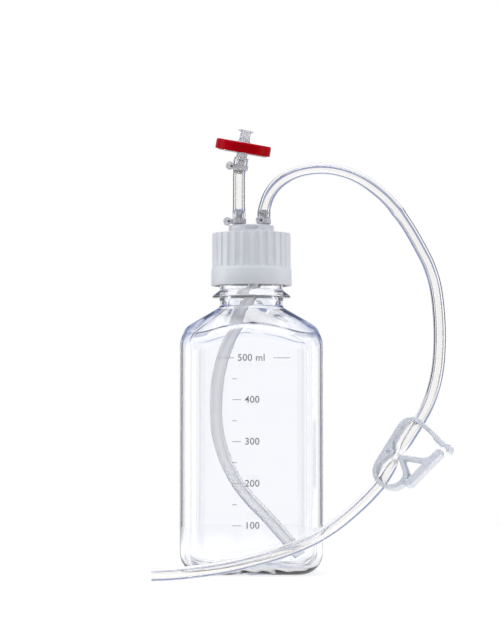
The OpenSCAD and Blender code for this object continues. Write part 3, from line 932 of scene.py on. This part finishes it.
def make_tie(name, node, place, inner_r, head_angle, slotted=False):
    """A cable tie: a band with rounded edges, a neck, and a round head whose front has
    a rim, a shallow dish and a deep hole, with a near-black plug in it as painted shade."""
    outer_r = inner_r + TIE_T
    band = rounded([(inner_r, 0), (outer_r, 0), (outer_r, TIE_H), (inner_r, TIE_H)], 0.2)
    reach_out = outer_r + TIE_HEAD_R + 0.1
    turn = math.radians(head_angle)
    head_at = place @ Matrix.Translation((reach_out * math.cos(turn),
                                          reach_out * math.sin(turn), TIE_H / 2))
    head_at = head_at @ Matrix.Rotation(math.pi / 2, 4, "X")
    half = TIE_HEAD_D / 2
    disc = rounded([(0, -half), (TIE_HEAD_R, -half), (TIE_HEAD_R, half),
                    (TIE_HEAD_R - 0.6, half), (TIE_HEAD_R - 0.75, half - TIE_DISH),
                    (0, half - TIE_DISH)], [0, 0.4, 0.3, 0.2, 0.1, 0])
    head = add("head", revolve(disc, 48), NYLON, head_at)
    hole_at = head_at @ Matrix.Translation((TIE_HOLE_X, 0, 0)) @ Matrix.Diagonal(
        (1.5, 0.7, 1, 1) if slotted else (1, 1, 1, 1))
    hole = revolve([(0, half - TIE_HOLE_DEPTH), (TIE_HOLE_R, half - TIE_HOLE_DEPTH),
                    (TIE_HOLE_R, half + 1), (0, half + 1)], 24)
    cut(head, add("hole", hole, NYLON, hole_at))
    soften(head.data, 35)
    # A near-black plug deep in the hole: painted shade, standing in for the dark inside of
    # the hole
    painted_shade_plug = revolve([(0, half - 1.7), (0.56, half - 1.7), (0.56, half - 0.75),
                   (0.46, half - 0.65), (0, half - 0.65)], 24)
    painted_shade_plug = add(name + "_pin", painted_shade_plug, PAINTED_HOLE_SHADE, hole_at)
    settled_on(painted_shade_plug, "insert", "tie_nylon")
    spin = Matrix.Rotation(turn, 4, "Z")
    neck = block("neck", (inner_r + 0.15, -1.3, 0.15),
                 (reach_out - 1.2, 1.3, TIE_H - 0.15), NYLON, 0.3, place @ spin)
    ring = add("band", revolve(band, 72), NYLON, place)
    settled_on(joined(name, ring, head, neck), "insert", "tie_nylon", node)


def make_ties():
    tie_z = extent("vent_tie_lower")[0].z + 0.95
    make_tie("vent_tie_low", "vent_tie_lower",
             Matrix.Translation((-PORT_X, 0, tie_z)), TUBE_R - 0.02, 180)
    make_tie("vent_tie_high", "vent_tie_upper",
             FILTER @ Matrix.Translation((0, 0, SLEEVE_FOOT)), SLEEVE_R - 0.02, 220,
             slotted=True)
    make_tie("dispensing_tie_band", "dispensing_tie",
             Matrix.Translation((PORT_X, 0, tie_z)), TUBE_R - 0.02, 250)


RIBS = 8
RIB_END_R = 12.6
RIB_W = 0.7


def ribs(start_r, z_low, z_high):
    """Radial ribs on one of the filter's shells."""
    turns = [Matrix.Rotation(2 * math.pi * i / RIBS, 4, "Z") for i in range(RIBS)]
    return [block("rib", (start_r, -RIB_W / 2, z_low), (RIB_END_R, RIB_W / 2, z_high),
                  HOUSING, 0.12, FILTER @ turn) for turn in turns]


def make_filter():
    half = BAND_H / 2
    band = rounded([(SHELL_R, -half), (BAND_R - 0.1, -half), (BAND_R, -half + 0.5),
                    (BAND_R, half - 0.8), (BAND_R - 0.6, half), (SHELL_R, half)],
                   [0.1, 0.35, 0.2, 0.25, 0.25, 0.1])
    red = add("filter_red_band", revolve(band, 144), RED, FILTER)
    settled_on(red, "insert", "filter_red", "filter_band")

    low = rounded([(1.1, -14), (1.3, -14), (2.25, -11.9), (2.25, -11.7), (1.8, -11.6),
                   (1.8, -6.8), (2.8, -6.6), (2.8, -3.2), (SHELL_R - 0.1, -3),
                   (SHELL_R - 0.1, -0.6), (12.4, -0.6), (12.2, -1.3), (2.4, -1.3),
                   (1.1, -2)], 0.15)
    lower = add("filter_lower_dish", revolve(low, 120), HOUSING, FILTER, sharp=30)
    lower = joined("filter_lower_dish", lower, *ribs(2.6, -3.35, -2.9))
    settled_on(lower, "insert", "filter_housing", "filter_lower_shell")

    high = rounded([(2.1, 9.2), (2.1, 2.4), (1.1, 2.2), (1.1, 1.2), (12.2, 1.1),
                    (12.4, 0.5), (SHELL_R - 0.1, 0.5), (SHELL_R - 0.1, 2.6),
                    (3.6, 2.75), (2.85, 3.3), (2.7, 8), (2.85, 8.2), (2.85, 9.2)], 0.15)
    upper = add("filter_upper_dish", revolve(high, 120), HOUSING, FILTER, sharp=30)
    lugs = [block("lug", (x, -1.5, 8.1), (x + 1.4, 1.5, 9.15), HOUSING, 0.3, FILTER)
            for x in (-3.9, 2.5)]
    upper = joined("filter_upper_dish", upper, *lugs, *ribs(3.2, 2.3, 2.62))
    settled_on(upper, "insert", "filter_housing", "filter_upper_shell")


make_vent_tube()
make_ties()
make_filter()

# ---- Pinch clamp -----------------------------------------------------------------
# Its outlines are flat, in the clamp's own frame: the origin is the pinch, +Y runs
# along the tube towards the closure, and +X towards the finger arm.

CLAMP_UPRIGHT = Matrix.Translation(CLAMP_POS) @ Matrix.Rotation(CLAMP_LEAN, 4, "Y")
CLAMP_PLACE = (CLAMP_UPRIGHT @ Matrix.Rotation(CLAMP_TURN, 4, "Z")
               @ Matrix.Rotation(math.pi / 2, 4, "X"))
BACK_X = -7.1
TOP_BOW = (1.15, 13.2)
TOP_BOW_R = 8.25
LOW_BOW = (2.1, -8.7)
LOW_BOW_R = 9.2
LATCH_PIVOT = Vector((6.9, 19.25))
LATCH_SLOPE = -12.5
LATCH_LEN = 12.4
STRAP_HOLE_R = 3.6
STRAP_HOLE_U = (17, -20.5)
PEG_DIMPLE = (-4, -0.9, CLAMP_DEPTH / 2)
PEG_DIMPLE_R = 1.1
PEG_DIMPLE_DEPTH = 1.2
TEETH = 3
TOOTH_PITCH = 1.8
TEETH_LEN = 7.6
EDGE = 0.4


def slab(name, outlines, depth):
    """A flat moulding with rounded edges. The first outline is its outside, and any
    others are holes."""
    curve = bpy.data.curves.new(name, "CURVE")
    curve.dimensions = "2D"
    curve.fill_mode = "BOTH"
    curve.extrude = (depth / 2 - EDGE) * MM
    curve.bevel_depth = EDGE * MM
    curve.bevel_resolution = 3
    curve.offset = -EDGE * MM
    for outline in outlines:
        spline = curve.splines.new("POLY")
        spline.points.add(len(outline) - 1)
        for point, p in zip(spline.points, outline):
            point.co = (p[0] * MM, p[1] * MM, 0, 1)
        spline.use_cyclic_u = True
    place = CLAMP_PLACE.copy()
    place.translation = CLAMP_POS * MM
    obj = from_curve(curve, place, CLAMP)
    soften(obj.data, 50)
    return obj


def strap_edge(path, side):
    """One edge of a strap: its centre line moved sideways."""
    edge = []
    for i, p in enumerate(path):
        way = (path[min(i + 1, len(path) - 1)] - path[max(i - 1, 0)]).normalized()
        edge.append(p + side * Vector((-way.y, way.x)))
    return edge


def strap_end(path, t):
    """Points round the far end of a strap."""
    way = path[-1] - path[-2]
    turn = math.degrees(math.atan2(way.y, way.x))
    return arc(path[-1], t / 2, turn - 75, turn + 75, 6)


def make_clamp_frame():
    """The strap from one hinge round to the other, with the anvil on its back."""
    mid = STRAP_T / 2
    low = arc(LOW_BOW, LOW_BOW_R - mid, 351, 180, 26)
    top = arc(TOP_BOW, TOP_BOW_R - mid, 180, 90 + LATCH_SLOPE, 20)
    path = low + top + [LATCH_PIVOT]
    inner, outer = strap_edge(path, -mid), strap_edge(path, mid)
    back, tip = BACK_X + STRAP_T, -PINCH_GAP / 2
    anvil = [Vector(p) for p in ((back, -6.8), (tip - 1.2, -1.1), (tip, -0.75),
                                 (tip, 0.75), (tip - 1.2, 1.1), (back, 4.8))]
    before, after = inner[:len(low)], inner[len(low):]
    rest = after + strap_end(path, STRAP_T) + outer[::-1] + strap_end(path[::-1], STRAP_T)
    radii = [0] * len(before) + [1.5, 1.2, 0.6, 0.6, 1.2, 1.5] + [0] * len(rest)
    outline = rounded(before + anvil + rest, radii)
    frame_piece = slab("clamp_frame_moulding", [outline], CLAMP_DEPTH)
    profile = [(0, 0), (STRAP_HOLE_R, 0), (STRAP_HOLE_R, 8), (0, 8)]
    holes = [add("hole", revolve(profile, 48), CLAMP,
                 CLAMP_UPRIGHT @ Matrix.Translation((0, 0, u))) for u in STRAP_HOLE_U]
    dimple = rounded([(0, -PEG_DIMPLE_DEPTH), (PEG_DIMPLE_R, -PEG_DIMPLE_DEPTH),
                      (PEG_DIMPLE_R, 1), (0, 1)], [0, 0.4, 0, 0])
    dimple_at = CLAMP_PLACE @ Matrix.Translation(PEG_DIMPLE)
    holes.append(add("dimple", revolve(dimple, 32), CLAMP, dimple_at))
    cut(frame_piece, *holes)
    soften(frame_piece.data, 40)
    return settled_on(frame_piece, "insert", "clamp_plastic", "clamp_frame")


def make_clamp_jaw():
    outline = rounded(
        [(9.0, -11), (8.9, -6.7), (2.0, -1.2), (1.45, -0.1), (2.3, 1.1), (13.5, 5.7),
         (15.3, 7.8), (16.8, 13.2), (18.3, 13.9), (19.9, 12.1), (14.9, -9.6),
         (13.4, -11.0), (10.5, -11.4)],
        [1.0, 4.0, 0.8, 0.9, 0.9, 2.2, 2.2, 1.2, 0.8, 1.2, 1.4, 1.2, 0.8])
    hole = rounded([(4.4, -0.35), (10.8, -5.4), (11.2, -8.1), (11.7, -8.1), (14.4, 3.7)],
                   [0.7, 1.6, 0.3, 0.3, 0.8])
    jaw = slab("clamp_jaw_moulding", [outline, hole], ARM_DEPTH)
    return settled_on(jaw, "clamp_jaw", "clamp_plastic", "clamp_jaw_arm")


def make_clamp_latch():
    half = STRAP_T / 2
    teeth = []
    for i in range(TEETH):
        x = LATCH_LEN - TEETH_LEN + i * TOOTH_PITCH
        teeth += [(x, -half), (x + 1.5, -half - 0.8), (x + 1.6, -half)]
    outline = ([(0, -half), *teeth, (LATCH_LEN - 0.4, -half), (LATCH_LEN + 1.4, -0.8),
                (LATCH_LEN + 3.1, -1.7), (LATCH_LEN + 4.1, -0.7),
                (LATCH_LEN + 3.4, 1.4), (LATCH_LEN + 1.6, 2.2), (LATCH_LEN - 0.6, half),
                (0, half)] + [tuple(p) for p in arc((0, 0), half, 105, 255, 8)])
    turn = Matrix.Rotation(math.radians(LATCH_SLOPE), 2)
    points = [turn @ Vector(p) + LATCH_PIVOT for p in outline]
    latch = slab("clamp_latch_moulding", [points], ARM_DEPTH)
    return settled_on(latch, "clamp_latch", "clamp_plastic", "clamp_latch_arm")


clamp = [make_clamp_frame(), make_clamp_jaw(), make_clamp_latch()]

# ---- CAD nodes that show as they are -----------------------------------------------

for node, material in (("closure_gasket", RUBBER), ("filter_membrane", MEDIA),
                       ("membrane_support", HOUSING)):
    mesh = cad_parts[node].data
    mesh.materials.clear()
    mesh.materials.append(material)

# ---- Cords -----------------------------------------------------------------------

length_of(dispensing_line) * MM
[p * MM for p in dispensing_line]
length_of(dip_line) * MM
[p * MM for p in dip_line]

# ---- Studio ----------------------------------------------------------------------

FLOOR_R = 650
FLOOR_LOW = -6
FLOOR_TOP = -0.05
FLOOR_GREY = (0.3, 0.3, 0.3, 1)
FLOOR_FLAG = 0.55
FLOOR_NEAR = 0.74
FLOOR_FAR = 0.62
BACK_LIGHT = (0.985, 0.992, 1.02)
SIDE_LIGHT = (0.98, 0.98, 0.98)
FRONT_LIGHT = (0.8, 0.8, 0.8)
EDGE_FLAG = (0.06, 0.07, 0.11)
HIGH_FLAG = (0.29, 0.34, 0.54)
SEEN_WHITE = (1.0, 1.0, 1.0)

# Soft edges of the lights and flags in degrees, each as (start, end)
FLAG_TURN = ((26, 29), (41, 43))
FLAG_RISE = ((-60, -50), (40, 50))
HIGH_RISE = ((8.5, 12), (32, 44))
SIDE_TURN = ((45, 75), (110, 150))
FRONT_TURN = (90, 140)


def calc(tree, operation, a, b=None):
    """A maths operation on one or two values, each a number or a node's output."""
    node = tree.nodes.new("ShaderNodeMath")
    node.operation = operation
    for value, socket in ((a, node.inputs[0]), (b, node.inputs[1])):
        if value is None:
            continue
        if isinstance(value, (int, float)):
            socket.default_value = value
        else:
            tree.links.new(value, socket)
    return node.outputs["Value"]


def degrees_ranged(tree, value, start, end):
    return ranged(tree, value, math.radians(start), math.radians(end))


def smooth_window(tree, value, rise, fall):
    """1 between two soft edges, and 0 outside them."""
    return calc(tree, "SUBTRACT", degrees_ranged(tree, value, *rise),
                degrees_ranged(tree, value, *fall))


def edge_sectors(tree, split):
    """1 in the directions between each axis and the diagonals, where the flags stand."""
    far_x = calc(tree, "ABSOLUTE", split.outputs["X"])
    far_y = calc(tree, "ABSOLUTE", split.outputs["Y"])
    turn = calc(tree, "ARCTAN2", calc(tree, "MINIMUM", far_x, far_y),
                calc(tree, "MAXIMUM", far_x, far_y))
    return smooth_window(tree, turn, *FLAG_TURN)


def mixed(tree, factor, a, b):
    """Mixes two colours, each a tuple or a node's output."""
    node = tree.nodes.new("ShaderNodeMix")
    node.data_type = "RGBA"
    tree.links.new(factor, node.inputs["Factor"])
    for value, socket in ((a, node.inputs["A"]), (b, node.inputs["B"])):
        if isinstance(value, tuple):
            socket.default_value = (*value, 1)
        else:
            tree.links.new(value, socket)
    return node.outputs["Result"]


def make_floor():
    """A pale disc that gets slightly dimmer away from the object, so that its far edge
    doesn't show through the clear parts. The flags go on across it, but the camera
    itself sees it plain and pale."""
    material, tree, shader = new_material("floor")
    shader.inputs["Base Color"].default_value = FLOOR_GREY
    shader.inputs["Roughness"].default_value = 0.6
    shader.inputs["Specular IOR Level"].default_value = 0.2
    shader.inputs["Emission Color"].default_value = (1, 1, 1, 1)
    coord = tree.nodes.new("ShaderNodeTexCoord")
    length = tree.nodes.new("ShaderNodeVectorMath")
    length.operation = "LENGTH"
    tree.links.new(coord.outputs["Object"], length.inputs[0])
    split = tree.nodes.new("ShaderNodeSeparateXYZ")
    tree.links.new(coord.outputs["Object"], split.inputs["Vector"])
    path = tree.nodes.new("ShaderNodeLightPath")
    fade = ranged(tree, length.outputs["Value"], 0.12, 0.6, FLOOR_NEAR, FLOOR_FAR)
    far = ranged(tree, length.outputs["Value"], 0.2, 0.5)
    flag = calc(tree, "MULTIPLY", edge_sectors(tree, split), far)
    flag = calc(tree, "MULTIPLY", flag, FLOOR_FLAG)
    strength = calc(tree, "SUBTRACT", fade, flag)
    seen = calc(tree, "MULTIPLY", path.outputs["Is Camera Ray"], FLOOR_NEAR)
    strength = calc(tree, "MAXIMUM", strength, seen)
    tree.links.new(strength, shader.inputs["Emission Strength"])
    profile = [(0, FLOOR_LOW), (FLOOR_R, FLOOR_LOW), (FLOOR_R, FLOOR_TOP), (0, FLOOR_TOP)]
    add("floor", revolve(profile, 128), material)


def make_world():
    """White behind, bright at the sides and dimmer in front, with soft dark flags that
    draw the edges of the clear parts. The background itself shows plain white."""
    world = bpy.data.worlds.new("studio")
    world.use_nodes = True
    bpy.context.scene.world = world
    tree = world.node_tree
    coord = tree.nodes.new("ShaderNodeTexCoord")
    split = tree.nodes.new("ShaderNodeSeparateXYZ")
    tree.links.new(coord.outputs["Generated"], split.inputs["Vector"])
    path = tree.nodes.new("ShaderNodeLightPath")
    around = calc(tree, "ABSOLUTE",
                  calc(tree, "ARCTAN2", split.outputs["X"], split.outputs["Y"]))
    rise = calc(tree, "ARCSINE", split.outputs["Z"])
    light = mixed(tree, degrees_ranged(tree, around, *FRONT_TURN), BACK_LIGHT, FRONT_LIGHT)
    light = mixed(tree, smooth_window(tree, around, *SIDE_TURN), light, SIDE_LIGHT)
    upright = calc(tree, "MULTIPLY", edge_sectors(tree, split),
                   smooth_window(tree, rise, *FLAG_RISE))
    colour = mixed(tree, upright, light, EDGE_FLAG)
    colour = mixed(tree, smooth_window(tree, rise, *HIGH_RISE), colour, HIGH_FLAG)
    seen = mixed(tree, path.outputs["Is Camera Ray"], colour, SEEN_WHITE)
    tree.links.new(seen, tree.nodes["Background"].inputs["Color"])


def make_light(name, at, size, power):
    """A soft rectangular light that points at the object and stays out of view."""
    data = bpy.data.lights.new(name, "AREA")
    data.shape = "RECTANGLE"
    data.size, data.size_y = size
    data.energy = power
    light = new_object(name, data)
    light.location = at
    target = Vector((0.02, 0, 0.12))
    light.rotation_euler = (target - light.location).to_track_quat("-Z", "Y").to_euler()
    light.visible_camera = False


make_floor()
make_world()
make_light("left", Vector((-1.1, 0.1, 0.35)), (0.25, 0.8), 2.5)
make_light("right", Vector((1.1, 0.0, 0.3)), (0.25, 0.8), 2.5)
make_light("top", Vector((0, -0.1, 1.2)), (0.8, 0.6), 6)

scene = bpy.context.scene
scene.cycles.max_bounces = 24
scene.cycles.transmission_bounces = 24
scene.view_settings.view_transform = "Standard"
scene.view_settings.look = "None"
